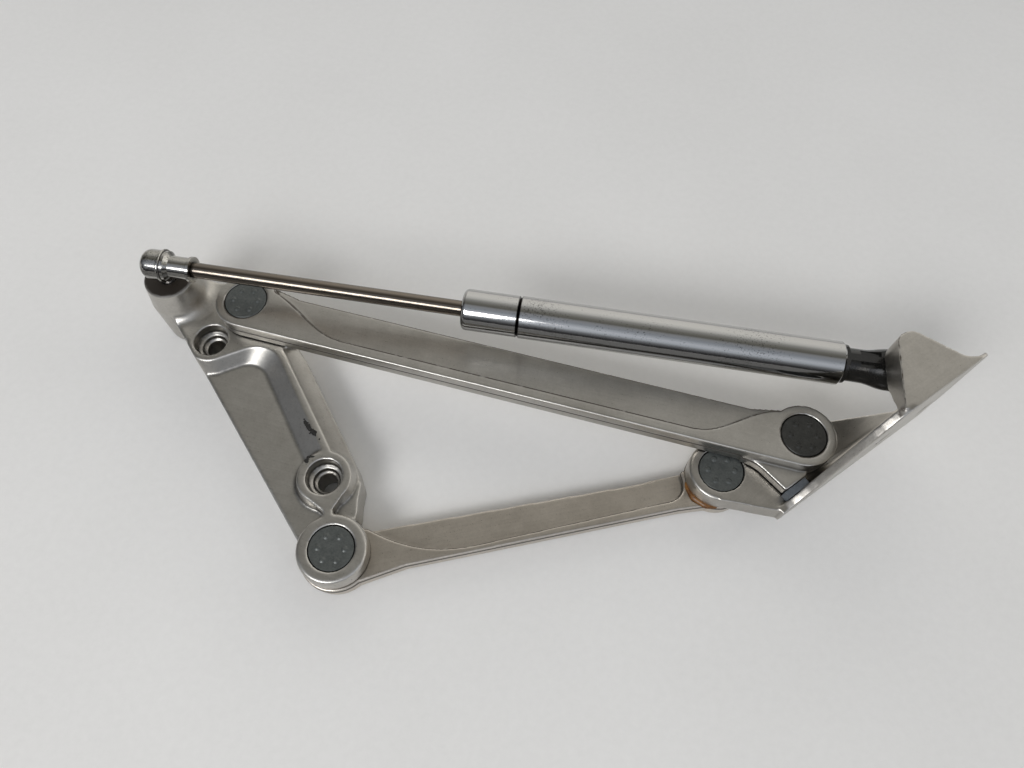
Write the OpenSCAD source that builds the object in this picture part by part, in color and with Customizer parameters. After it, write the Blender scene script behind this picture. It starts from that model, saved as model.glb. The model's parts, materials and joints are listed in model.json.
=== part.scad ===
// Trunk lid hinge: a four-bar linkage of forged aluminium with a gas strut.
// It lies on its body mounting face (z = 0) in the open position.
// The origin is under the upper body pivot, +X runs along the upper link,
// and every pivot axis is parallel to Z.

/* [Linkage] */
// Distance between the two pivots of the upper link
upper_span = 275; // [260:1:290]
// Lower body pivot, along the upper link
low_pivot_x = 82.6; // [78:0.2:88]
// Lower body pivot, below the upper link
low_pivot_drop = 103.1; // [98:0.1:110]
// Lower lid pivot, back from the upper lid pivot
lid_pivot_back = 31.5; // [31:0.1:35]
// Lower lid pivot, below the upper lid pivot
lid_pivot_drop = 21; // [20:0.1:24]

/* [Pivots] */
// Outer radius of every link eye
eye_r = 15; // [14:0.1:15.5]
// Diameter of a pin head
head_d = 20.3; // [19.6:0.1:21]
// Thickness of a pin head
head_t = 3.2; // [2.5:0.1:4]
// Diameter of a pin shank
shank_d = 12; // [10:0.1:13]
// Wall of a bearing bush
bush_wall = 1.5; // [1:0.1:2]
// Thickness of a thrust washer
washer_t = 0.95; // [0.9:0.01:0.98]
// Small pips in a ring on each pin head
head_pips = 6; // [4:1:8]

/* [Links] */
// Thickness of the upper link
upper_t = 12; // [11:0.5:14]
// Thickness of the lower link
lower_t = 10; // [9:0.5:12]
// Height of the upper link's edge above its axis
upper_edge = 9.7; // [8:0.1:11]
// Width of the rib along the upper link
upper_rib = 5.6; // [4:0.1:7]
// Width of the lower link's bar
lower_bar = 18.3; // [16:0.1:20]
// Width of the rib along the lower link
lower_rib = 3.6; // [3:0.1:5]
// Depth of the recess in the upper link
upper_recess = 5; // [3:0.1:6]
// Depth of the recess in the lower link
lower_recess = 4; // [3:0.1:5]

/* [Body bracket] */
// Thickness of the lugs between the links
lug_t = 10; // [9:0.5:12]
// Height of the recessed floor
floor_z = 16.5; // [15:0.1:17.5]
// Diameter of the bolt holes
bolt_d = 9; // [8.4:0.1:10]
// Diameter of the bolt counterbores
bolt_head_d = 17; // [16:0.1:18]
// Radius of the ball stud boss at its top
stud_boss_r = 12; // [10:0.1:12.4]

/* [Lid bracket] */
// Distance of the lid face from the upper lid pivot
flange_off = 21.5; // [21.4:0.1:24]
// Angle of the lid face to the upper link
flange_angle = 49.7; // [48:0.1:52]
// Length of the lid flange
flange_len = 98; // [96:1:104]
// Thickness of the lid flange
flange_t = 3.8; // [3.4:0.1:4.4]
// Thickness of the ear over the strut
ear_t = 14; // [12:0.5:16]

/* [Gas strut] */
// Outer diameter of the tube
tube_d = 20; // [18:0.2:21]
// Wall of the tube
tube_wall = 1.5; // [1.2:0.1:2]
// Diameter of the piston rod
rod_d = 7.6; // [7:0.1:9]
// Bare stretch from the ball to the tube when extended
rod_reach = 150.4; // [145:0.2:156]
// Diameter of the balls
ball_d = 10; // [9:0.1:10.4]

/* [Hidden] */
$fn = 64;

// Clearances
fit = 0.02;
running = 0.05;
slip = 0.3;
head_gap = 0.35;
layer_gap = 1;
blend = 0.1;

// Heights of the three layers
tail_t = 1.8;
low_z = tail_t + 0.2;
low_top = low_z + lower_t;
lug_z = low_top + layer_gap;
lug_top = lug_z + lug_t;
up_z = lug_top + layer_gap;
up_top = up_z + upper_t;

// Pivots and ball centres in plan
pivot_ub = [0, 0];
pivot_ul = [upper_span, 0];
pivot_lb = [low_pivot_x, -low_pivot_drop];
pivot_ll = pivot_ul + [-lid_pivot_back, -lid_pivot_drop];
ball_b = [-40.4, 0.1];
ball_l = pivot_ul + [30.5, 35];

// Pin seat: the bush flange and the head sit in a counterbore
shank_r = shank_d / 2;
head_r = head_d / 2;
pocket_r = head_r + head_gap;
bush_r = shank_r + running + bush_wall;
bush_flange = 1;
head_sink = 0.3;
head_turn = 12;
pocket_d = head_t + bush_flange + head_sink + running;

// Upper and lower link
upper_low = eye_r;
parting = 0.55;
parting_step = 0.6;
tab_c = [-24.5, -34];
tab_r = 18.4;
lower_len = norm(pivot_ll - pivot_lb);
lower_angle = atan2(pivot_ll[1] - pivot_lb[1], pivot_ll[0] - pivot_lb[0]);
lower_v0 = -0.63 * lower_bar;
lower_v1 = lower_v0 + lower_bar;
low_eye_r = eye_r + 1.8;
function ease(t) = (1 - cos(180 * t)) / 2;
function s_curve(x0, x1, y0, y1, n = 16) =
    [for (i = [0:n]) [x0 + (x1 - x0) * i / n, y0 + (y1 - y0) * ease(i / n)]];
function fall(x0, x1, y0, y1, n = 16) =
    [for (i = [0:n]) [x0 + (x1 - x0) * i / n, y1 + (y0 - y1) * pow(1 - i / n, 2.35)]];
function arc(c, r, a0, a1, n = 8) =
    [for (i = [0:n]) c + r * [cos(a0 + (a1 - a0) * i / n), sin(a0 + (a1 - a0) * i / n)]];

// Body bracket
bolt_1 = [-14.3, -20];
bolt_2 = pivot_lb + [-15.4, 30.4];
bolt_boss_r = bolt_head_d / 2 + 4.1;
bolt_boss_run = 1.6;
bolt_sink = 9;
seat_z = 8;
under_depth = 7;
ring_r = eye_r + 1;
ring_round = 1.6;
step_depth = lug_top - floor_z;
step_run = 4.8;
step_crest_r = bolt_head_d / 2 + 3.1;
recess_top = [13.4, -31.9];
recess_top_r = 14.8;
step_line = recess_top - bolt_1;
step_radii = step_crest_r + recess_top_r - blend;
step_angle = atan2(step_line[1], step_line[0]) - acos(step_radii / norm(step_line));
recess_foot = recess_top + [-3.7, -3.85];
recess_foot_r = (recess_foot - bolt_1) * [cos(step_angle), sin(step_angle)] - step_crest_r - step_run + blend;
edge_0 = [33.5, -15.5];
edge_1 = bolt_2 + [10.3, 11.2];
rail_angle = atan2(edge_1[1] - edge_0[1], edge_1[0] - edge_0[0]);
rail_len = norm(edge_1 - edge_0);
rail_slope = [0.6, 7.8];
neck_line = pivot_lb - bolt_2;
neck_angle = atan2(neck_line[1], neck_line[0]);
neck_waist = [16.5, 2.2];
strut_z = up_top + tube_d / 2 + 4;
stud_boss_z = strut_z - 10;
stud_shank_r = 4;
stud_depth = 12;
boss_fillet = 6;
boss_foot_r = stud_boss_r + 1.6;

// Lid bracket
flange_dir = [cos(flange_angle), sin(flange_angle)];
flange_out = [sin(flange_angle), -cos(flange_angle)];
flange_back = 27.5;
flange_z = lug_z + 0.5;
web_s = flange_len - 6;
flange_0 = pivot_ul + flange_off * flange_out - flange_back * flange_dir;
ear_z = strut_z + tube_d / 2 + 1;
ear_top = ear_z + ear_t;
lid_hole_z = 37;
web_fillet = 4.2;
bumper_t = 3.2;
bumper_s = [5, 17];
bumper_top = up_z + 5;
stop_y = flange_t + bumper_t + slip;
ear_foot = 47;
ear_r = 7;
ear_left = 136;
ear_right = 22;
tip_t = 1.6;
tip_r = 9.6;
function on_face(s, y) = flange_0 + s * flange_dir - y * flange_out;
function polar(r, a) = r * [cos(a), sin(a)];
ear_at = ball_l + [-0.6, -0.9] - flange_0;
ear_c = [ear_at * flange_dir, -ear_at * flange_out];
tip_reach = ear_c * polar(1, ear_right) + ear_r + tip_r - blend;
tip_c = [(tip_reach - (tip_t + tip_r) * sin(ear_right)) / cos(ear_right), tip_t + tip_r];
lid_hole_s = [flange_len - 44, flange_len - 16];

// Gas strut
strut_len = norm(ball_l - ball_b);
strut_angle = atan2(ball_l[1] - ball_b[1], ball_l[0] - ball_b[0]);
tube_r = tube_d / 2;
bore_r = tube_r - tube_wall;
rod_r = rod_d / 2;
ball_r = ball_d / 2;
tube_end = strut_len - 22.6;
plug_t = 8;
stem_r = 4;
stem_len = 9;
neck_tube_r = 7.6;
neck_tube_len = 8;
collar_lip = [1.6, 2.2];
cup_r = 9.4;
cup_half = 7.4;
cup_len = 8;
cup_round = 4;
cup_slot = [9, 2.6, 1.6];
cup_slot_x = [16, 3];
sleeve_x0 = 8;
socket_r = 7.4;
clip_x = 2.4;
clip_r = 0.8;
sleeve_x1 = 17.2;
sleeve_r = rod_r + 1.7;
guide_x0 = rod_reach + 1.5;
guide_t = 13;
seal_t = 5;
piston_x = guide_x0 + guide_t + seal_t + 16;
piston_t = 11;
rod_tail = 3;
ring_x = piston_x + 4;
ring_t = 3;
ring_depth = 2.5;
collar_t = 26.8;

module at(p) {
    translate([p[0], p[1], 0]) children();
}

module tube_cut(r, z0, z1) {
    translate([0, 0, z0]) cylinder(r = r, h = z1 - z0);
}

// Cylinder with a rounded top edge
module round_top(r, z0, z1) {
    rotate_extrude() polygon(concat(
        [[0, z0], [r, z0]],
        arc([r - ring_round, z1 - ring_round], ring_round, 0, 90),
        [[0, z1]]
    ));
}

// Counterbore for a pin head over a bush bore
module eye_cut(z0, z1) {
    tube_cut(bush_r + fit, z0 - 1, z1 + 1);
    tube_cut(pocket_r, z1 - pocket_d, z1 + 1);
}

// Bush with a flange under the pin head
module bush(z0, z1) {
    flange_z = z1 - pocket_d;
    difference() {
        union() {
            tube_cut(bush_r, z0, flange_z);
            tube_cut(head_r, flange_z, flange_z + bush_flange);
        }
        tube_cut(shank_r + running, z0 - 1, z1);
    }
}

// Washer lying on the layer below
module washer(z) {
    difference() {
        tube_cut(eye_r - 2.5, z, z + washer_t);
        tube_cut(shank_r + 0.3, z - 1, z + 2);
    }
}

// Pin: flat head with a ring of pips, over a plain shank
module pin_head(top) {
    head_top = top - head_sink;
    difference() {
        tube_cut(head_r, head_top - head_t, head_top);
        translate([0, 0, head_top - 0.4]) rotate_extrude()
            translate([head_r - 0.4, 0]) polygon([[0, 0.5], [0.5, 0.5], [0.5, 0]]);
    }
    for (i = [0:head_pips - 1])
        rotate(360 / head_pips * i + head_turn) translate([0.6 * head_r, 0, head_top - blend])
            cylinder(r1 = 1.7, r2 = 0.7, h = 0.4 + blend);
}

module body_plan() {
    polygon([ball_b + [-5.6, -7.1], pivot_lb + [-16.6, -0.9], pivot_lb + [4, 10], bolt_2 + [19.1, -10.4],
        bolt_2 + [17.3, -4.7], bolt_2 + [15.9, 3.4], edge_1, edge_0, [eye_r, 0], [3, eye_r - 0.5],
        ball_b + [2, 12]]);
    at(ball_b) circle(r = boss_foot_r + 0.6);
    circle(r = eye_r + 0.5);
}

// Cone about a point, of radius r at the floor and wider or narrower by grow at the lug top
module flank(p, r, grow) {
    slope = grow / step_depth;
    at(p) translate([0, 0, floor_z - 1])
        cylinder(r1 = r - slope, r2 = r + grow + slope, h = step_depth + 2);
}

// Section of the recess, a share k of the way from its foot up to the lug top
module recess_disc(k, shift) {
    at(recess_foot + k * (recess_top - recess_foot) + shift) translate([0, 0, floor_z + k * step_depth])
        cylinder(r = recess_foot_r + k * (recess_top_r - recess_foot_r), h = blend, $fn = 72);
}

// Recess with a steep wall along the S-shaped step and a shallow wall along the rail
module recess() {
    far = 80;
    hull() for (shift = [[0, 0], polar(far, step_angle - 90), polar(far, rail_angle), [0, -far]])
        for (k = [-0.2, 1.2]) recess_disc(k, shift);
}

// Raised pad of the upper pivot, with the rail that runs from it to the lower bolt
module pad() {
    slope = (rail_slope[1] - rail_slope[0]) / step_depth;
    difference() {
        linear_extrude(lug_top + 1) polygon([bolt_1, bolt_1 + polar(60, step_angle), bolt_2, edge_1, [60, 40],
            [-70, 40], bolt_1 + [-40, -10]]);
        recess();
        at(edge_0) rotate(rail_angle) translate([-8, 0, 0]) rotate([90, 0, 90]) linear_extrude(rail_len + 16)
            polygon([[slope - rail_slope[0], floor_z - 1], [-rail_slope[1] - slope, lug_top + 1],
                [20, lug_top + 1], [20, floor_z - 1]]);
    }
    flank(bolt_1, step_crest_r + step_run, -step_run);
}

// Neck between the lower bolt boss and the lower pivot, tapering from the boss to a waist
module neck() {
    turn = atan2(neck_waist[1], neck_waist[0]) + acos(bolt_boss_r / norm(neck_waist));
    from = polar(bolt_boss_r - blend, turn);
    to = norm(neck_line) - ring_r + 3;
    at(bolt_2) rotate(neck_angle) linear_extrude(lug_top + 1) polygon([from, neck_waist, [to, neck_waist[1]],
        [to, -neck_waist[1]], [neck_waist[0], -neck_waist[1]], [from[0], -from[1]]]);
}

// Hollow of the mounting side, clear of the bolt bosses
module under_cut() {
    translate([0, 0, -1]) linear_extrude(under_depth + 1) difference() {
        polygon([[-8, -28], [23, -17], bolt_2 + [-14.2, 26.7], bolt_2 + [-7.2, 8.7], bolt_2 + [-23.2, -3.3],
            [22, -58]]);
        for (p = [bolt_1, bolt_2]) at(p) circle(r = bolt_boss_r);
        circle(r = eye_r + 1);
    }
}

// Conical boss of the ball stud, with a concave foot
module stud_boss() {
    out_r = boss_foot_r + boss_fillet;
    rotate_extrude() polygon(concat(
        [[0, stud_boss_z], [stud_boss_r, stud_boss_z]],
        arc([out_r, lug_top + boss_fillet], boss_fillet, 180, 270),
        [[out_r, lug_top - 2], [0, lug_top - 2]]
    ));
}

module body_bracket() {
    color("silver") difference() {
        union() {
            difference() {
                linear_extrude(lug_top) body_plan();
                difference() {
                    translate([-100, -200, floor_z]) cube([300, 300, lug_top]);
                    pad();
                    flank(bolt_2, bolt_boss_r + bolt_boss_run, -bolt_boss_run);
                    neck();
                    at(pivot_lb) round_top(ring_r, 0, lug_top);
                }
            }
            intersection() {
                at(ball_b) stud_boss();
                linear_extrude(stud_boss_z) body_plan();
            }
            at(pivot_lb) round_top(ring_r, lug_z, lug_top);
        }
        at(pivot_lb) tube_cut(low_eye_r + 0.6, -1, lug_z);
        at(pivot_lb) eye_cut(lug_z, lug_top);
        tube_cut(shank_r + fit, seat_z, lug_top + 1);
        for (p = [bolt_1, bolt_2]) at(p) {
            tube_cut(bolt_d / 2, -1, lug_top + 1);
            tube_cut(bolt_head_d / 2 - 2.2, lug_top - bolt_sink, lug_top + 1);
            tube_cut(bolt_head_d / 2, lug_top - bolt_sink + 2.5, lug_top + 1);
        }
        at(ball_b) tube_cut(stud_shank_r + fit, stud_boss_z - stud_depth, stud_boss_z + 1);
        under_cut();
    }
}

// Plan of the upper link, drawn in by inset below its parting line
module upper_plan(inset = 0) {
    edge = upper_edge - inset;
    low = inset - upper_low;
    circle(r = eye_r - inset);
    at(pivot_ul) circle(r = eye_r - inset);
    polygon([[0, low], [upper_span, low], [upper_span, edge], [upper_span - 7, edge + 3.5],
        [upper_span - 24, edge], [24, edge], [7, edge + 3.5], [0, edge]]);
}

module upper_recess_plan() {
    low = -upper_low + upper_rib;
    difference() {
        polygon(concat(
            s_curve(4, 54, upper_edge, low),
            s_curve(upper_span - 49, upper_span - 9, low, upper_edge),
            [[upper_span, upper_edge + 8], [0, upper_edge + 8]]
        ));
        circle(r = eye_r);
        at(pivot_ul) circle(r = eye_r);
    }
}

module upper_link() {
    tab_t = 0.5 * upper_t;
    color("silver") difference() {
        union() {
            translate([0, 0, up_z]) linear_extrude(upper_t) upper_plan(parting_step);
            translate([0, 0, up_z + parting * upper_t]) linear_extrude((1 - parting) * upper_t) upper_plan();
            translate([0, 0, up_z]) linear_extrude(tab_t) polygon(concat(
                arc(pivot_ul + tab_c, tab_r, 90, 57),
                [on_face(5.4, stop_y), on_face(18, stop_y), pivot_ul + [6, -12], pivot_ul + [tab_c[0], -10]]
            ));
        }
        translate([0, 0, up_top - upper_recess]) linear_extrude(upper_recess + 1) upper_recess_plan();
        for (p = [pivot_ub, pivot_ul]) at(p) eye_cut(up_z, up_top);
    }
}

module on_lower_link() {
    at(pivot_lb) rotate(lower_angle) children();
}

// Plan of the lower link, drawn in by inset below its parting line
module lower_plan(inset = 0) {
    low = lower_v0 + inset;
    top = lower_v1 - inset;
    circle(r = low_eye_r - inset);
    translate([lower_len, 0]) circle(r = eye_r - inset);
    polygon([[0, inset - low_eye_r + 1], [30, low], [lower_len - 22, low], [lower_len, inset - eye_r + 2],
        [lower_len, top], [lower_len - 40, top - 1], [16, top + 2], [0, top + 4]]);
}

// Leaf-shaped recess, open along the upper edge
module lower_recess_plan() {
    low = lower_v0 + lower_rib;
    end_r = 9;
    difference() {
        polygon(concat(
            fall(eye_r, 64, lower_v1 + 2.6, low - 0.6),
            arc([lower_len - eye_r - end_r - 0.6, low + 1.2 + end_r], end_r, -90, 0),
            [[lower_len - eye_r - 0.6, eye_r], [eye_r, eye_r]]
        ));
        circle(r = eye_r + 0.3);
    }
}

module lower_link() {
    color("silver") difference() {
        on_lower_link() difference() {
            union() {
                translate([0, 0, low_z]) linear_extrude(lower_t) lower_plan(parting_step);
                translate([0, 0, low_z + parting * lower_t])
                    linear_extrude((1 - parting) * lower_t) lower_plan();
            }
            translate([0, 0, low_top - lower_recess]) linear_extrude(lower_recess + 1) lower_recess_plan();
        }
        for (p = [pivot_lb, pivot_ll]) at(p) tube_cut(shank_r + fit, 0, low_top + 1);
    }
}

// Lid flange frame: x along the flange, y inward, z up
module on_flange() {
    at(flange_0) rotate(flange_angle) children();
}

module flange_profile() {
    polygon(concat(
        [[0, flange_z]],
        s_curve(0, 52, lug_top + 0.5, ear_top),
        arc([flange_len - 6, ear_top - 6], 6, 90, 0),
        arc([flange_len - 8, 34], 8, 0, -60),
        [[web_s + 2, flange_z]]
    ));
}

module web_plan() {
    rim = eye_r - 0.2;
    at(pivot_ul) circle(r = eye_r);
    polygon([pivot_ll + polar(rim, -84), on_face(0.6, 1), on_face(web_s, 2), pivot_ul + polar(rim, 65),
        pivot_ul + polar(rim, 122), pivot_ll + polar(rim, 122)]);
}

// Ear over the strut, in the flange frame; its free side runs out along the flange
module ear_plan() {
    translate(ear_c) circle(r = ear_r);
    polygon([ear_c + polar(ear_r - blend, ear_left), [ear_foot, 2], [tip_c[0], 2],
        tip_c - polar(tip_r - blend, ear_right), ear_c + polar(ear_r - blend, ear_right)]);
}

// Concave fillet between the web and the flange
module web_round() {
    c = web_fillet - blend / 2;
    on_flange() translate([bumper_s[1] + 3, 0, 0]) rotate([90, 0, 90]) linear_extrude(web_s - bumper_s[1] - 6)
        polygon(concat(
            [[flange_t - 1, lug_top - 1], [flange_t - 1, lug_top + c]],
            arc([flange_t + c, lug_top + c], web_fillet, 180, 270),
            [[flange_t + c, lug_top - 1]]
        ));
}

// Slope under the ear, from the stud boss up to the flange
module ear_cut() {
    on_flange() translate([0, 0, ear_z]) rotate([90, 0, 90]) linear_extrude(flange_len)
        polygon([[flange_t, 0.5 * ear_t], [14, 0], [14, -1], [flange_t, -1]]);
}

module lid_bracket() {
    color("silver") difference() {
        union() {
            translate([0, 0, lug_z]) linear_extrude(lug_t) web_plan();
            at(pivot_ll) round_top(eye_r, lug_z, lug_top);
            on_flange() translate([0, flange_t, 0]) rotate([90, 0, 0])
                linear_extrude(flange_t) flange_profile();
            on_flange() translate([0, 0, ear_z]) linear_extrude(ear_t) ear_plan();
            web_round();
        }
        ear_cut();
        on_flange() translate(tip_c) tube_cut(tip_r, -1, ear_top + 1);
        at(pivot_ul) tube_cut(shank_r + fit, lug_z - 1, lug_top + 1);
        at(pivot_ll) eye_cut(lug_z, lug_top);
        for (s = lid_hole_s) on_flange() translate([s, -1, lid_hole_z]) rotate([-90, 0, 0])
            cylinder(d = bolt_d, h = flange_t + 2);
    }
}

module fixed_pin(z0, top) {
    tube_cut(shank_r, z0, top - head_sink - head_t);
    pin_head(top);
}

module upper_body_pin() {
    color("dimgray") fixed_pin(seat_z, up_top);
}

module upper_body_bush() {
    color("darkgoldenrod") bush(up_z, up_top);
}

module upper_body_washer() {
    color("darkgoldenrod") washer(lug_top);
}

// Tail upset under the lower link
module pin_tail() {
    translate([0, 0, low_z - tail_t]) cylinder(r1 = 8, r2 = 9, h = tail_t);
}

module lower_body_pin() {
    color("dimgray") at(pivot_lb) {
        fixed_pin(low_z, lug_top);
        pin_tail();
    }
}

module lower_body_bush() {
    color("darkgoldenrod") at(pivot_lb) bush(lug_z, lug_top);
}

module lower_body_washer() {
    color("darkgoldenrod") at(pivot_lb) washer(low_top);
}

module upper_lid_pin() {
    color("dimgray") at(pivot_ul) fixed_pin(lug_z, up_top);
}

module upper_lid_bush() {
    color("darkgoldenrod") at(pivot_ul) bush(up_z, up_top);
}

module upper_lid_washer() {
    color("darkgoldenrod") at(pivot_ul) washer(lug_top);
}

module lower_lid_pin() {
    color("dimgray") at(pivot_ll) fixed_pin(lug_z, lug_top);
}

module lower_lid_pin_foot() {
    color("dimgray") at(pivot_ll) {
        tube_cut(shank_r, low_z, low_top + washer_t / 2);
        pin_tail();
    }
}

module lower_lid_bush() {
    color("darkgoldenrod") at(pivot_ll) bush(lug_z, lug_top);
}

module lower_lid_washer() {
    color("darkgoldenrod") at(pivot_ll) washer(low_top);
}

module stop_bumper() {
    color("slategray") on_flange() translate([bumper_s[0], flange_t, lug_top])
        cube([bumper_s[1] - bumper_s[0], bumper_t, bumper_top - lug_top]);
}

module on_strut() {
    at(ball_b) translate([0, 0, strut_z]) rotate(strut_angle) children();
}

module along(x0, x1, r) {
    translate([x0, 0, 0]) rotate([0, 90, 0]) cylinder(r = r, h = x1 - x0);
}

module body_ball_stud() {
    color("dimgray") at(ball_b) {
        tube_cut(stud_shank_r, stud_boss_z - stud_depth, stud_boss_z);
        tube_cut(3, stud_boss_z, strut_z);
        translate([0, 0, strut_z]) sphere(r = ball_r);
    }
}

module rod_end_socket() {
    color("lightgray") on_strut() difference() {
        rotate([0, 90, 0]) rotate_extrude() polygon(concat(
            [[0, sleeve_x1], [sleeve_r + 0.8, sleeve_x1], [sleeve_r + 0.8, sleeve_x1 - 1.4]],
            [[sleeve_r, sleeve_x1 - 2], [sleeve_r, clip_x + 4], [socket_r, clip_x + 2.4]],
            [[socket_r, clip_x + clip_r], [socket_r - clip_r, clip_x + clip_r]],
            [[socket_r - clip_r, clip_x - clip_r], [socket_r, clip_x - clip_r], [socket_r, -3.5]],
            arc([socket_r - 4.5, -3.5], 4.5, 0, -90),
            [[0, -8]]
        ));
        sphere(r = ball_r + running);
        translate([0, 0, -2 * ball_r]) cylinder(r = ball_r - 0.6, h = 2 * ball_r);
        along(sleeve_x0, sleeve_x1 + 1, rod_r + fit);
    }
}

module rod_end_clip() {
    color("lightgray") on_strut() translate([clip_x, 0, 0]) rotate([0, 90, 0]) rotate(40)
        rotate_extrude(angle = 280) translate([socket_r, 0]) circle(r = clip_r - fit);
}

module piston_rod() {
    color("gray") on_strut() along(sleeve_x0, piston_x + piston_t + rod_tail, rod_r);
}

module piston() {
    color("dimgray") on_strut() difference() {
        along(piston_x, piston_x + piston_t, bore_r - 0.3);
        along(piston_x - 1, piston_x + piston_t + 1, rod_r + fit);
        difference() {
            along(ring_x, ring_x + ring_t, bore_r);
            along(ring_x - 1, ring_x + ring_t + 1, bore_r - ring_depth);
        }
    }
}

module piston_ring() {
    color("black") on_strut() difference() {
        along(ring_x + fit, ring_x + ring_t - fit, bore_r - running);
        along(ring_x - 1, ring_x + ring_t + 1, bore_r - ring_depth + fit);
    }
}

module strut_tube() {
    groove_x = rod_reach + collar_t;
    color("gainsboro") on_strut() rotate([0, 90, 0]) rotate_extrude() polygon(concat(
        [[bore_r, rod_reach + 1.5], [tube_r - 4, rod_reach + 1.5], [tube_r - 4, rod_reach]],
        arc([tube_r - 2.4, rod_reach + 2.2], 2.2, -90, 0),
        [[tube_r - 0.2, groove_x - 0.7], [tube_r - 0.9, groove_x], [tube_r, groove_x + 0.7]],
        [[tube_r, tube_end - 1], [tube_r - 1, tube_end], [bore_r, tube_end]]
    ));
}

module rod_guide() {
    color("dimgray") on_strut() difference() {
        along(guide_x0, guide_x0 + guide_t, bore_r - fit);
        along(guide_x0 - 1, guide_x0 + guide_t + 1, rod_r + running);
    }
}

module rod_seal() {
    x0 = guide_x0 + guide_t;
    color("black") on_strut() difference() {
        along(x0, x0 + seal_t, bore_r - fit);
        along(x0 - 1, x0 + seal_t + 1, rod_r + running);
    }
}

module tube_end_plug() {
    color("dimgray") on_strut() {
        along(tube_end - plug_t, tube_end, bore_r - fit);
        along(tube_end, tube_end + stem_len, stem_r);
    }
}

// Moulded socket: a collar at the tube, a neck and a slotted cup about the ball
module tube_end_socket() {
    color("black") on_strut() difference() {
        intersection() {
            rotate([0, 90, 0]) rotate_extrude() polygon(concat(
                [[0, tube_end], [tube_r - 1.2, tube_end], [tube_r - 1.2, tube_end + collar_lip[0]]],
                [[neck_tube_r, tube_end + collar_lip[1]], [neck_tube_r, tube_end + neck_tube_len]],
                [for (q = s_curve(tube_end + stem_len, strut_len - 2, neck_tube_r, cup_r, 8)) [q[1], q[0]]],
                arc([cup_r - cup_round, strut_len + cup_len - cup_round], cup_round, 0, 90),
                [[0, strut_len + cup_len]]
            ));
            translate([tube_end, -2 * cup_r, -cup_half]) cube([4 * cup_r, 4 * cup_r, 2 * cup_half]);
        }
        along(tube_end - 1, tube_end + stem_len, stem_r + fit);
        translate([strut_len, 0, 0]) sphere(r = ball_r + fit);
        translate([strut_len, 0, 0]) cylinder(r = ball_r - 0.5, h = cup_half + 1);
        for (side = [-1, 1]) translate([strut_len - cup_slot_x[0], side * cup_slot_x[1] - cup_slot[1] / 2, 0])
            translate([0, 0, neck_tube_r - cup_slot[2]]) cube([cup_slot[0], cup_slot[1], cup_slot[2] + cup_r]);
    }
}

module lid_ball_stud() {
    color("dimgray") on_strut() translate([strut_len, 0, 0]) {
        sphere(r = ball_r);
        cylinder(r = 3, h = ear_z - strut_z - slip);
        tube_cut(6, ear_z - strut_z - slip - 1.6, ear_z - strut_z - slip);
    }
}

body_bracket();
upper_link();
lower_link();
lid_bracket();
upper_body_pin();
upper_body_bush();
upper_body_washer();
lower_body_pin();
lower_body_bush();
lower_body_washer();
upper_lid_pin();
upper_lid_bush();
upper_lid_washer();
lower_lid_pin();
lower_lid_pin_foot();
lower_lid_bush();
lower_lid_washer();
stop_bumper();
body_ball_stud();
rod_end_socket();
rod_end_clip();
piston_rod();
piston();
piston_ring();
strut_tube();
rod_guide();
rod_seal();
tube_end_plug();
tube_end_socket();
lid_ball_stud();
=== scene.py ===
# %% [markdown]
# # A trunk lid hinge, dressed for the camera
#
# The hinge is a four-bar linkage of forged aluminium with a gas strut on top.
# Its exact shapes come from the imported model, so this lesson is about what a
# shape file leaves out: worn edges, finishes, grime, light and the point of view.

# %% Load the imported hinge
import json
import random

from math import cos, radians, sin

import bmesh
import bpy
from mathutils import Matrix, Vector
from mathutils.bvhtree import BVHTree


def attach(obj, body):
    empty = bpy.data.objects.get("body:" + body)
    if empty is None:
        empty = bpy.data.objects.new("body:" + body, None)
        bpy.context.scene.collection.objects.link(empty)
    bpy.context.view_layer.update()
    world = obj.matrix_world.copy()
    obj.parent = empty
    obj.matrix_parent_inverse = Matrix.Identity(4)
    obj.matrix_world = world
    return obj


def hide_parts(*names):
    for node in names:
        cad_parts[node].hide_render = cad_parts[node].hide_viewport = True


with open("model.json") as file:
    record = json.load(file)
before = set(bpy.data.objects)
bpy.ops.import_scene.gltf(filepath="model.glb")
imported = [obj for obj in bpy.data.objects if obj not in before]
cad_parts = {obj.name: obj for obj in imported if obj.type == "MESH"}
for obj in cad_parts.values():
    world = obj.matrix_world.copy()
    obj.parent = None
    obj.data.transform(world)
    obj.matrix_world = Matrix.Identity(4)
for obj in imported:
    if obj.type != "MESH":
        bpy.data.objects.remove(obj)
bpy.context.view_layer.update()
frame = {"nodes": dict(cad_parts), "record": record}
NODES = frame["nodes"]
BODY_OF = {n: body for body, names in frame["record"]["behaviour"]["bodies"].items() for n in names}
MM = 0.001


def put(name, data):
    """A new object of that name in the scene."""
    thing = bpy.data.objects.new(name, data)
    bpy.context.scene.collection.objects.link(thing)
    return thing


# %% [markdown]
# ## The camera
#
# The photograph looks down at the hinge from about 63 degrees, a short way off,
# with a wide lens. A short distance makes near pieces larger, so the place of
# the camera matters as much as its direction.

# %% Place the camera
CAMERA_AT = Vector((182.63, -165.5, 359)) * MM
LOOK = Vector((-0.11807, 0.43029, -0.89493))
SENSOR_WIDTH, LENS = 36, 27.035

camera = put("camera", bpy.data.cameras.new("camera"))
camera.data.sensor_width = SENSOR_WIDTH
camera.data.lens = LENS
camera.data.clip_start = 0.01
camera.location = CAMERA_AT
camera.rotation_mode = "QUATERNION"
camera.rotation_quaternion = LOOK.to_track_quat("-Z", "Y")
bpy.context.scene.camera = camera
print("camera at", tuple(CAMERA_AT), "looks along", tuple(LOOK))

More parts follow.
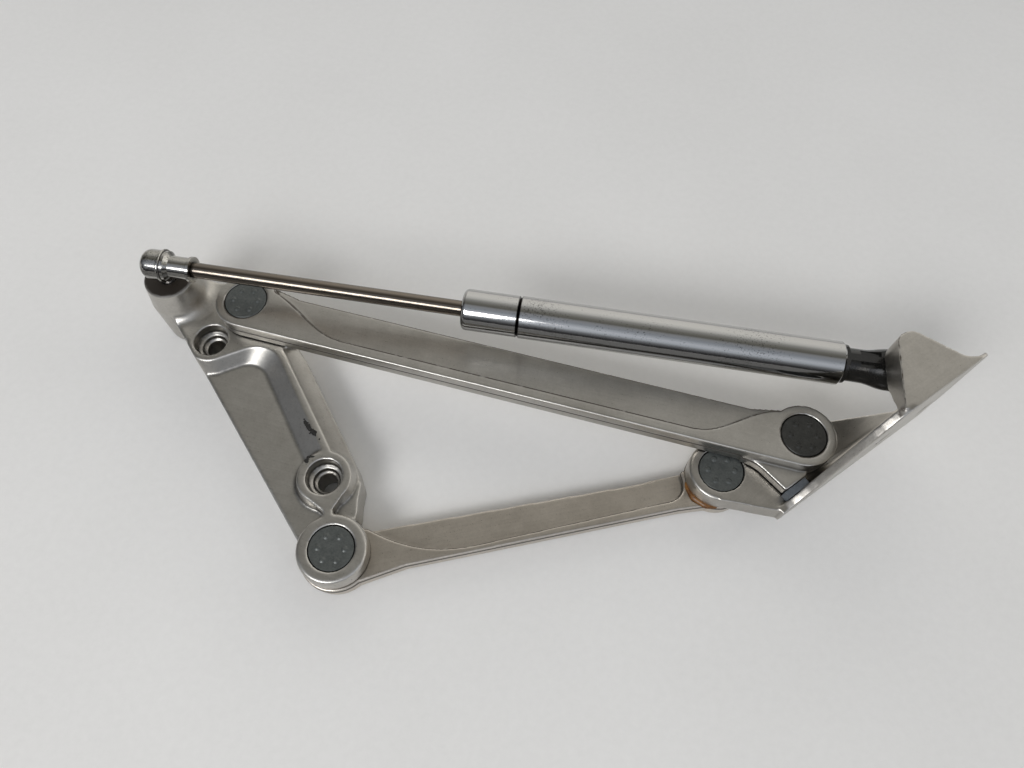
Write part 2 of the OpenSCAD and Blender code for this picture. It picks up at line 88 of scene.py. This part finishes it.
# %% [markdown]
# ## Nodes in a few words
#
# Every finish below is a small graph of shader nodes. A few helpers keep the
# graphs readable: one starts a finish with its constant numbers set on the
# shader itself, one adds a node and joins its inputs, and short ones stand for
# the sums and ranges that recur. The rest are the handful of textures that
# metal, plastic and rubber need.

# %% Helpers that build a graph
def finish_of(name, **constants):
    material = bpy.data.materials.new(name)
    material.use_nodes = True
    shader = material.node_tree.nodes["Principled BSDF"]
    for socket, value in constants.items():
        shader.inputs[socket.replace("_", " ")].default_value = value
    return material, material.node_tree, shader


def add(tree, kind, inputs=None, **settings):
    node = tree.nodes.new(kind)
    for name, value in settings.items():
        setattr(node, name, value)
    for name, value in (inputs or {}).items():
        if isinstance(value, bpy.types.NodeSocket):
            tree.links.new(value, node.inputs[name])
        else:
            node.inputs[name].default_value = value
    return node


def join(tree, output, shader, socket):
    tree.links.new(output, shader.inputs[socket])


def mix(tree, factor, first, second, blend="MIX"):
    node = add(tree, "ShaderNodeMix", data_type="RGBA", blend_type=blend)
    for socket, value in zip((node.inputs[0], node.inputs[6], node.inputs[7]), (factor, first, second)):
        if isinstance(value, bpy.types.NodeSocket):
            tree.links.new(value, socket)
        else:
            socket.default_value = (*value, 1) if isinstance(value, tuple) else value
    return node.outputs[2]


def maths(tree, operation, first, second=0.0):
    return add(tree, "ShaderNodeMath", {0: first, 1: second}, operation=operation).outputs[0]


def ranged(tree, value, start, end, at_start=0.0, at_end=1.0):
    """A straight ramp from one level at the start value to another at the end value."""
    ends = {"From Min": start, "From Max": end, "To Min": at_start, "To Max": at_end}
    return add(tree, "ShaderNodeMapRange", {"Value": value, **ends}).outputs[0]


def axis(tree, vector, name):
    return add(tree, "ShaderNodeSeparateXYZ", {"Vector": vector}).outputs[name]


# %% Helpers that make textures
def place(tree, scale=(1, 1, 1), turn=0.0):
    """Coordinates of the piece itself, in metres, turned about Z and stretched."""
    coordinates = add(tree, "ShaderNodeTexCoord").outputs["Object"]
    change = {"Rotation": (0, 0, turn), "Scale": scale}
    return add(tree, "ShaderNodeMapping", {"Vector": coordinates, **change}).outputs["Vector"]


def noise(tree, where, scale, detail=4.0, rough=0.55):
    grade = {"Scale": scale, "Detail": detail, "Roughness": rough}
    return add(tree, "ShaderNodeTexNoise", {"Vector": where, **grade}).outputs["Fac"]


def steps(tree, value, *stops):
    """A ramp: each stop is a place from 0 to 1 and a grey or a colour."""
    ramp = add(tree, "ShaderNodeValToRGB", {"Fac": value})
    elements = ramp.color_ramp.elements
    while len(elements) < len(stops):
        elements.new(0.5)
    for element, (where, tone) in zip(elements, stops):
        element.position = where
        element.color = (*tone, 1) if isinstance(tone, tuple) else (tone, tone, tone, 1)
    return ramp.outputs["Color"]


def bump(tree, shader, height, distance, strength):
    relief = add(tree, "ShaderNodeBump", {"Height": height, "Distance": distance, "Strength": strength})
    join(tree, relief.outputs["Normal"], shader, "Normal")


def blot(tree, centre, radius, ragged, flat=1, core=0.75):
    """A ragged patch about a point, 1 in its core and 0 outside; sizes in millimetres."""
    x, y, z = centre
    where = place(tree, (1, 1, flat))
    middle = (x * MM, y * MM, z * MM * flat)
    span = add(tree, "ShaderNodeVectorMath", {0: where, 1: middle}, operation="DISTANCE").outputs["Value"]
    torn = ranged(tree, noise(tree, where, 420, 5), 0.0, 1.0, -ragged * MM, ragged * MM)
    return ranged(tree, maths(tree, "ADD", span, torn), radius * MM, core * radius * MM)


def band(tree, value, middle, half, fade):
    """1 near a value, 0 farther off than half plus fade."""
    span = maths(tree, "ABSOLUTE", maths(tree, "SUBTRACT", value, middle))
    return ranged(tree, span, half + fade, half)


# %% [markdown]
# ## Forged aluminium
#
# The four forgings have a satin skin: drop-forged, tumbled and handled for
# years. Several things make it read as metal. The tone drifts slowly over the
# surface, and the gloss changes with a fine grain and with long faint strokes.
# Edges that stand out are rubbed bright. Corners, hollows and thin lines along
# the walls of the links are darkened, partly as dirt and partly as painted
# shade, and old dirt stays on edges that face a side where nothing rubs them.
# A few black specks lie about, and local stains are ragged patches about a
# point; the one on the stud boss is grease with a painted shadow under the rod-end socket.

# %% Wear, dirt, painted shade and specks
RUBBED = (0.74, 0.73, 0.70)
DIRT_AND_SHADE_REACH = 2.2 * MM


def worn_and_shaded(tree, colour):
    """Bright on worn edges that stand out; dark in corners and hollows, as dirt and painted shade."""
    bend = add(tree, "ShaderNodeNewGeometry").outputs["Pointiness"]
    # Concave corners and hollows are darkened: partly dirt, partly painted shade.
    corner = steps(tree, bend, (0.465, 0.25), (0.4965, 1.0))
    rubbed = steps(tree, bend, (0.508, 0.0), (0.58, 0.45))
    hollow = add(tree, "ShaderNodeAmbientOcclusion", {"Distance": DIRT_AND_SHADE_REACH}, samples=8).outputs["AO"]
    grime_and_shade = steps(tree, hollow, (0.42, 0.16), (0.62, 1.0))
    dirt_and_shade = mix(tree, 1.0, mix(tree, 1.0, colour, corner, "MULTIPLY"), grime_and_shade, "MULTIPLY")
    return mix(tree, rubbed, dirt_and_shade, RUBBED)


def wall_line(tree, height, half):
    """1 on a thin line along the walls at a height, where dirt and painted shade darken the wall."""
    normal = add(tree, "ShaderNodeTexCoord").outputs["Normal"]
    line = band(tree, axis(tree, place(tree), "Z"), height * MM, half * MM, 0.35 * MM)
    wall = band(tree, axis(tree, normal, "Z"), 0.0, 0.5, 0.2)
    return maths(tree, "MULTIPLY", line, wall)


def shaded_edge(tree, height, toward, lean, torn):
    """1, raggedly, on rounded edges above a height that lean toward a side where nothing rubs."""
    where = place(tree)
    normal = add(tree, "ShaderNodeTexCoord").outputs["Normal"]
    side = add(tree, "ShaderNodeVectorMath", {0: normal, 1: toward}, operation="DOT_PRODUCT").outputs["Value"]
    mask = 1.0
    for value, least, full in (
        (axis(tree, where, "Z"), height * MM, (height + 0.4) * MM),
        (side, lean, lean + 0.19),
        (axis(tree, normal, "Z"), 0.20, 0.40),
        (noise(tree, where, 210, 5), torn, torn + 0.16),
    ):
        mask = maths(tree, "MULTIPLY", ranged(tree, value, least, full), mask)
    return mask


def specks(tree, where):
    """1 on a few black specks, 0 elsewhere: small dots in some cells of a cell pattern."""
    cells = add(tree, "ShaderNodeTexVoronoi", {"Vector": where, "Scale": 75.0})
    dot = maths(tree, "LESS_THAN", cells.outputs["Distance"], 0.035)
    some = maths(tree, "LESS_THAN", axis(tree, cells.outputs["Color"], "X"), 0.45)
    return maths(tree, "MULTIPLY", dot, some)


# %% Forged aluminium
DARK_METAL = (0.425, 0.406, 0.372)
LIGHT_METAL = (0.560, 0.540, 0.502)
SOOT = (0.012, 0.011, 0.010)
GREASE_AND_SHADOW = (0.020, 0.014, 0.009)
SMEAR = (0.20, 0.17, 0.13)
WALL_DIRT_AND_SHADE = (0.060, 0.052, 0.043)
EDGE_DIRT = (0.060, 0.047, 0.034)
DIRT_ROUGH = (0.55, 0.55, 0.55)


def forged_aluminium(name, stroke=0.0, tint=(1, 1, 1), line=None, edge=None, stains=()):
    material, tree, shader = finish_of(name)
    where = place(tree)
    cloud = mix(tree, 0.45, noise(tree, where, 30, 5), noise(tree, where, 170, 6, 0.7))
    dark, light = (tuple(t * s for t, s in zip(tone, tint)) for tone in (DARK_METAL, LIGHT_METAL))
    tone = steps(tree, cloud, (0.32, dark), (0.68, light))
    grain = noise(tree, where, 2200, 2)
    strokes = noise(tree, place(tree, (60, 1100, 1100), stroke), 1.0, 3)
    brushed = steps(tree, strokes, (0.30, 0.965), (0.70, 1.03))
    blasted = steps(tree, noise(tree, where, 950, 3, 0.7), (0.30, 0.945), (0.70, 1.05))
    for texture in (brushed, blasted):
        tone = mix(tree, 1.0, tone, texture, "MULTIPLY")
    colour = worn_and_shaded(tree, tone)
    rough = steps(tree, mix(tree, 0.30, grain, strokes), (0.30, 0.26), (0.70, 0.42))
    patches = [(specks(tree, where), SOOT)] + [(blot(tree, *spot), paint) for spot, paint in stains]
    if line:
        # A thin dark line of dirt and painted shade along the walls.
        patches.append((wall_line(tree, *line), WALL_DIRT_AND_SHADE))
    if edge:
        patches.append((shaded_edge(tree, *edge), EDGE_DIRT))
    bare = 1.0
    for patch, paint in patches:
        colour = mix(tree, patch, colour, paint)
        rough = mix(tree, patch, rough, DIRT_ROUGH)
        bare = maths(tree, "MULTIPLY", maths(tree, "SUBTRACT", 1.0, patch), bare)
    join(tree, colour, shader, "Base Color")
    join(tree, rough, shader, "Roughness")
    join(tree, bare, shader, "Metallic")
    bump(tree, shader, mix(tree, 0.12, grain, strokes), 0.05 * MM, 0.5)
    return material


# Lengths are in millimetres. A line is a height and half a width; an edge is a
# least height, the side it faces, its least lean and how much is torn away; a
# stain is a centre, a radius, how ragged it is, and then its flatness and core.
STRUT_SIDE = (0, 1, 0)
EAR_SIDE = (-0.65, 0.76, 0)
BODY_METAL = forged_aluminium("body_bracket_metal", radians(43), stains=(
    # Grease and a painted shadow under the rod-end socket, on the top of the stud boss.
    (((-40.4, 0.1, 40), 14.5, 0.8, 7), GREASE_AND_SHADOW),
    (((-28, -4, 28), 9.0, 2.5, 1, 0.0), SMEAR),
    (((-20, -30.5, 20), 1.3, 1.6), SOOT),
    (((13.5, -59.8, 16), 1.0, 1.2), SOOT),
))
UPPER_METAL = forged_aluminium("upper_link_metal", line=(29.2, 0.45), edge=(30.2, STRUT_SIDE, 0.09, 0.28))
LOWER_METAL = forged_aluminium("lower_link_metal", tint=(1.16, 1.10, 1.04), line=(10.3, 0.8),
                               edge=(10.6, STRUT_SIDE, 0.30, 0.28))
LID_METAL = forged_aluminium("lid_bracket_metal", tint=(0.89, 0.88, 0.87), edge=(72.0, EAR_SIDE, 0.20, 0.43))
print("forged finishes:", [m.name for m in (BODY_METAL, UPPER_METAL, LOWER_METAL, LID_METAL)])

# %% [markdown]
# ## Chrome
#
# The strut is hard chrome over steel. Chrome is nearly a mirror, so most of its
# look is the room around it; what tells its age are fine scratches along the
# tube, a bloom of small pits and a brown film of old oil on the rod. Dirt and
# painted shade darken the rolled groove and the crevices, and a painted dark
# band of reflection runs along the flanks.

# %% Chrome of the strut
STRUT_TURN = radians(-5.76)
GROOVE_DIRT_AND_SHADE = (0.035, 0.032, 0.028)


def chrome(name, tone, gloss, pits, film=(1, 1, 1), dark_ring_at=None, dark_ring_half=0.5):
    material, tree, shader = finish_of(name, Metallic=1.0)
    where = place(tree)
    scratch = noise(tree, place(tree, (30, 2600, 2600), STRUT_TURN), 1.0, 3)
    pitted = noise(tree, where, 1300, 4, 0.7)
    patchy = noise(tree, where, 45, 3)
    colour = mix(tree, patchy, tone, tuple(t * f for t, f in zip(tone, film)))
    spots = steps(tree, mix(tree, 0.28, pitted, patchy), (pits - 0.03, 1.0), (pits, 0.50))
    # Crevices are darkened as grime and painted shade.
    hollow = add(tree, "ShaderNodeAmbientOcclusion", {"Distance": 3 * MM}, samples=8).outputs["AO"]
    grime_and_shade = steps(tree, hollow, (0.45, 0.06), (0.85, 1.0))
    up = axis(tree, add(tree, "ShaderNodeNewGeometry").outputs["Normal"], "Z")
    # A painted dark band of reflection along the flanks, where the surface faces a little upward.
    dark_reflection_band = steps(tree, up, (0.03, 1.0), (0.14, 0.36), (0.46, 0.30), (0.60, 1.0))
    for darkening in (spots, grime_and_shade, dark_reflection_band):
        colour = mix(tree, 1.0, colour, darkening, "MULTIPLY")
    if dark_ring_at is not None:
        # A dark ring in a groove: dirt and painted shade.
        along = axis(tree, place(tree, turn=STRUT_TURN), "X")
        ring = band(tree, along, dark_ring_at * MM, dark_ring_half * MM, 0.6 * MM)
        colour = mix(tree, ring, colour, GROOVE_DIRT_AND_SHADE)
    join(tree, colour, shader, "Base Color")
    join(tree, steps(tree, scratch, (0.35, gloss), (0.72, gloss * 2.6)), shader, "Roughness")
    bump(tree, shader, mix(tree, 0.5, scratch, pitted), 0.03 * MM, 0.35)
    return material


TUBE_CHROME = chrome("tube_chrome", (0.470, 0.468, 0.458), 0.06, 0.61, dark_ring_at=137.0)
ROD_CHROME = chrome("rod_chrome", (0.20, 0.18, 0.16), 0.09, 0.72, (0.85, 0.78, 0.68))
END_CHROME = chrome("rod_end_chrome", (0.48, 0.47, 0.44), 0.05, 0.57, dark_ring_at=-49.0, dark_ring_half=1.6)

# %% [markdown]
# ## Pins, plastic, rubber and hidden metal
#
# The pin heads are phosphated steel, grey and dull with a faint cast of green.
# The socket on the tube is moulded plastic, black and rather glossy. The stop
# is a block of blue-grey rubber. Bushes, studs and the parts inside the strut
# are hardly seen, and still get a finish that suits them.

# %% Small finishes
def mottled(name, dark, light, metallic, gloss):
    material, tree, shader = finish_of(name, Metallic=metallic)
    where = place(tree)
    cloud = mix(tree, 0.5, noise(tree, where, 300, 5), noise(tree, where, 1200, 3))
    join(tree, steps(tree, cloud, (0.35, dark), (0.66, light)), shader, "Base Color")
    grain = noise(tree, where, 1500, 3)
    join(tree, steps(tree, grain, (0.3, gloss * 0.8), (0.7, gloss * 1.25)), shader, "Roughness")
    bump(tree, shader, grain, 0.03 * MM, 0.5)
    return material


PIN_GREY = mottled("pin_phosphate", (0.070, 0.077, 0.073), (0.115, 0.122, 0.116), 0.25, 0.36)
PIN_DARK = mottled("pin_phosphate_dark", (0.026, 0.026, 0.023), (0.050, 0.049, 0.044), 0.25, 0.34)
PLASTIC = mottled("black_plastic", (0.010, 0.010, 0.009), (0.018, 0.017, 0.016), 0.0, 0.20)
SEAL_RUBBER = mottled("seal_rubber", (0.012, 0.012, 0.012), (0.020, 0.020, 0.020), 0.0, 0.55)
STOP_RUBBER = mottled("stop_rubber", (0.085, 0.098, 0.112), (0.130, 0.145, 0.160), 0.0, 0.42)
BRONZE = mottled("bush_bronze", (0.17, 0.12, 0.07), (0.25, 0.18, 0.10), 1.0, 0.36)
STEEL = mottled("stud_steel", (0.28, 0.27, 0.26), (0.40, 0.39, 0.38), 1.0, 0.28)

FINISHES = {
    PIN_GREY: ("upper_body_pin", "lower_body_pin", "lower_lid_pin", "lower_lid_pin_foot"),
    PIN_DARK: ("upper_lid_pin",),
    BRONZE: ("upper_body_bush", "lower_body_bush", "upper_lid_bush", "lower_lid_bush",
             "upper_body_washer", "lower_body_washer", "upper_lid_washer", "lower_lid_washer"),
    TUBE_CHROME: ("strut_tube",),
    END_CHROME: ("rod_end_socket", "rod_end_clip"),
    ROD_CHROME: ("piston_rod",),
    PLASTIC: ("tube_end_socket",),
    SEAL_RUBBER: ("rod_seal", "piston_ring"),
    STOP_RUBBER: ("stop_bumper",),
    STEEL: ("body_ball_stud", "lid_ball_stud", "piston", "rod_guide", "tube_end_plug"),
}
for finish, names in FINISHES.items():
    for name in names:
        NODES[name].data.materials.clear()
        NODES[name].data.materials.append(finish)
print("nodes with a small finish:", sum(len(names) for names in FINISHES.values()))

# %% [markdown]
# ## Rounded edges
#
# A forging has no sharp edge or corner: the die rounds them and tumbling
# softens them more. Each forging therefore gets a skin. A copy of its packed
# mesh is laid on a fine even grid, and a few passes of smoothing then round
# every edge and fill every corner a little. Flat faces stay flat, because a
# point that is the mean of its flat neighbours does not move. The grid is
# turned to lie along the lower link and along the lid flange, since a long edge
# that crosses a grid at a slant comes out in small waves.

# %% Rounded skins for the forgings
SAME_POINT = 0.002 * MM


def rounded(node, finish, grid, passes, turn=0.0):
    form = bmesh.new()
    form.from_mesh(NODES[node].data)
    bmesh.ops.remove_doubles(form, verts=form.verts, dist=SAME_POINT)
    form.transform(Matrix.Rotation(radians(-turn), 4, "Z"))
    mesh = bpy.data.meshes.new(node + "_rounded")
    form.to_mesh(mesh)
    form.free()
    mesh.materials.append(finish)
    skin = put(node + "_rounded", mesh)
    skin.matrix_world = Matrix.Rotation(radians(turn), 4, "Z")
    even = skin.modifiers.new("even_grid", "REMESH")
    even.mode = "VOXEL"
    even.voxel_size = grid * MM
    even.use_smooth_shade = True
    soft = skin.modifiers.new("soft_edges", "SMOOTH")
    soft.factor = 0.5
    soft.iterations = passes
    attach(skin, BODY_OF[node])
    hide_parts(node)
    return skin


LOWER_LINK_TURN, FLANGE_TURN = 27.0, 49.7
FORGINGS = {
    "body_bracket": (BODY_METAL, 0.65, 6),
    "upper_link": (UPPER_METAL, 0.55, 7),
    "lower_link": (LOWER_METAL, 0.45, 7, LOWER_LINK_TURN),
    "lid_bracket": (LID_METAL, 0.50, 7, FLANGE_TURN),
}
skins = [rounded(name, *values) for name, values in FORGINGS.items()]
graph = bpy.context.evaluated_depsgraph_get()
for skin in skins:
    print(skin.name, "faces:", len(skin.evaluated_get(graph).data.polygons))

# %% [markdown]
# ## Dirt and grease
#
# A crust of black dirt clings to the rail of the body bracket and to the rim of
# its lower bolt hole. It stands up from the metal, so it is made of small
# lumps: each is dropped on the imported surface, squashed, turned and dented.

# %% Crumbs of dirt on the body bracket
DIRT = mottled("black_dirt", (0.006, 0.005, 0.004), (0.020, 0.018, 0.015), 0.0, 0.60)
# Each path has a start, an end, a spread and a count of crumbs.
DIRT_PATHS = (
    ((47.2, -48.4), (50.4, -51.0), 0.40, 55),
    ((50.4, -51.0), (55.4, -54.0), 0.55, 75),
    ((53.6, -52.8), (55.6, -54.2), 0.60, 40),
    ((57.2, -68.9), (56.6, -65.4), 0.45, 24),
    ((56.6, -65.4), (59.6, -64.6), 0.35, 12),
)
ABOVE = 90
DENT = 0.12
pick = random.Random(7)
ground = NODES["body_bracket"].data
surface = BVHTree.FromPolygons([v.co for v in ground.vertices], [p.vertices for p in ground.polygons])
crust = bmesh.new()
for start, end, spread, count in DIRT_PATHS:
    for _ in range(count):
        share = pick.random()
        x, y = (a + (b - a) * share + pick.gauss(0, spread) for a, b in zip(start, end))
        hit = surface.ray_cast(Vector((x, y, ABOVE)) * MM, Vector((0, 0, -1)))[0]
        size = 0.12 + 0.50 * pick.random() ** 2
        shape = Matrix.Diagonal((pick.uniform(0.8, 1.7), 1, pick.uniform(0.35, 0.6), 1))
        where = Matrix.Translation(hit) @ Matrix.Rotation(pick.uniform(0, 6.3), 4, "Z") @ shape
        lump = bmesh.ops.create_icosphere(crust, subdivisions=2, radius=size * MM, matrix=where)
        for vertex in lump["verts"]:
            vertex.co += Vector([pick.uniform(-DENT, DENT) * size * MM for _ in range(3)])
mesh = bpy.data.meshes.new("rail_dirt")
crust.to_mesh(mesh)
crust.free()
mesh.materials.append(DIRT)
rail_dirt = put("rail_dirt", mesh)
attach(rail_dirt, BODY_OF["body_bracket"])
print("crumbs of dirt, faces:", len(mesh.polygons))

# %% [markdown]
# Old grease has crept out under the lower lid pivot and turned orange-brown. It
# is a bead around part of the ring, thick in the middle and thin at its ends.

# %% Bead of grease under the lower lid pivot
OLD_GREASE = mottled("old_grease", (0.085, 0.030, 0.006), (0.270, 0.120, 0.026), 0.0, 0.34)
RING_AT = Vector((243.5, -21.0, 12.25))
RING_R = 15.0
ARC_START, ARC_SPAN = 204, 76
STEPS_ROUND, STEPS_UP = 48, 8
points = []
for i in range(STEPS_ROUND + 1):
    share = i / STEPS_ROUND
    turn = radians(ARC_START + ARC_SPAN * share)
    thick = (0.15 + 1.0 * sin(radians(180 * share)) ** 0.7) * (1 + 0.12 * sin(19 * share))
    for j in range(STEPS_UP + 1):
        lift = radians(90 * j / STEPS_UP)
        reach = RING_R - 0.2 + 1.8 * thick * (1 - sin(lift))
        rise = 1.9 * thick * (1 - cos(lift))
        points.append((RING_AT + Vector((reach * cos(turn), reach * sin(turn), rise))) * MM)
row = STEPS_UP + 1
faces = [(i * row + j, (i + 1) * row + j, (i + 1) * row + j + 1, i * row + j + 1)
         for i in range(STEPS_ROUND) for j in range(STEPS_UP)]
mesh = bpy.data.meshes.new("grease_bead")
mesh.from_pydata(points, [], faces)
mesh.materials.append(OLD_GREASE)
for polygon in mesh.polygons:
    polygon.use_smooth = True
grease_bead = put("grease_bead", mesh)
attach(grease_bead, BODY_OF["lid_bracket"])
print("grease bead, faces:", len(faces))

# %% [markdown]
# ## The floor
#
# The hinge lies on a plain pale surface. It is a large sheet, so that its edge
# stays out of every view, and its tone drifts by a few parts in a hundred.

# %% Floor
FLOOR_HALF = 6.0
floor_mesh = bpy.data.meshes.new("floor")
corners = [(x * FLOOR_HALF, y * FLOOR_HALF, 0) for x, y in ((-1, -1), (1, -1), (1, 1), (-1, 1))]
floor_mesh.from_pydata(corners, [], [(0, 1, 2, 3)])
floor = put("floor", floor_mesh)
material, tree, shader = finish_of("pale_floor", Roughness=0.75)
paper = mix(tree, 0.45, noise(tree, place(tree), 6), noise(tree, place(tree), 260, 6, 0.7))
drift = steps(tree, paper, (0.3, (0.830, 0.817, 0.795)), (0.7, (0.905, 0.892, 0.870)))
join(tree, drift, shader, "Base Color")
floor_mesh.materials.append(material)
print("floor:", 2 * FLOOR_HALF, "m wide")

# %% [markdown]
# ## The light
#
# Chrome shows the room, so the room is part of the object. The flat tops see
# the upper rear of the room, and the tube sees all of it as bands: a bright
# rear, a dark ceiling, a cooler front and a black edge low in front. One ramp
# over the angle from the zenith paints these bands on the world, and one soft
# lamp at the left front gives the long glint on the rod and the collar.

# %% Light
world = bpy.data.worlds.new("studio")
bpy.context.scene.world = world
world.use_nodes = True
tree = world.node_tree
direction = add(tree, "ShaderNodeTexCoord").outputs["Generated"]
parts = add(tree, "ShaderNodeSeparateXYZ", {"Vector": direction})
front = maths(tree, "MULTIPLY", parts.outputs["Y"], -1.0)
angle = maths(tree, "ARCTAN2", front, parts.outputs["Z"])
SWEEP = radians(120)
share = ranged(tree, angle, -SWEEP, SWEEP)
# Degrees from the zenith, the front being positive, and the colour of the room there.
ROOM = (
    (-100, (0.86, 0.84, 0.80)),
    (-55, (0.97, 0.95, 0.90)),
    (-40, (0.79, 0.78, 0.75)),
    (-25, (0.40, 0.395, 0.38)),
    (-12, (0.24, 0.235, 0.215)),
    (0, (0.17, 0.165, 0.145)),
    (9, (0.35, 0.36, 0.38)),
    (24, (0.38, 0.41, 0.46)),
    (45, (0.73, 0.77, 0.85)),
    (56, (0.62, 0.66, 0.73)),
    (68, (0.24, 0.25, 0.27)),
    (80, (0.08, 0.08, 0.085)),
    (110, (0.06, 0.058, 0.055)),
)
bands = steps(tree, share, *((0.5 + radians(degrees) / (2 * SWEEP), tone) for degrees, tone in ROOM))
across = ranged(tree, parts.outputs["X"], -1.0, 1.0)
# How bright the room is from its left side, -1, to its right side, 1, as half the strength.
SIDES = ((-1.0, 0.11), (-0.60, 0.30), (-0.40, 0.50), (0.0, 0.52), (0.4, 0.47), (0.7, 0.62), (1.0, 0.90))
side = steps(tree, across, *((0.5 + x / 2, level) for x, level in SIDES))
level = maths(tree, "MULTIPLY", side, 2.0)
join(tree, bands, tree.nodes["Background"], "Color")
join(tree, level, tree.nodes["Background"], "Strength")

LAMP_AT = Vector((-0.44, -1.58, 1.49))
LAMP_TO = Vector((0.10, -0.03, 0.03))
lamp = put("softbox", bpy.data.lights.new("softbox", "AREA"))
lamp.data.shape = "RECTANGLE"
lamp.data.size, lamp.data.size_y = 1.10, 0.72
lamp.data.energy = 20
lamp.location = LAMP_AT
lamp.rotation_mode = "QUATERNION"
lamp.rotation_quaternion = (LAMP_TO - LAMP_AT).to_track_quat("-Z", "Y")
print("room bands:", len(ROOM), "side levels:", len(SIDES), "lamp at", tuple(LAMP_AT))

# %% [markdown]
# ## The last step
#
# The plain view transform keeps the tones as the light makes them.

# %% Finish
bpy.context.scene.view_settings.view_transform = "Standard"
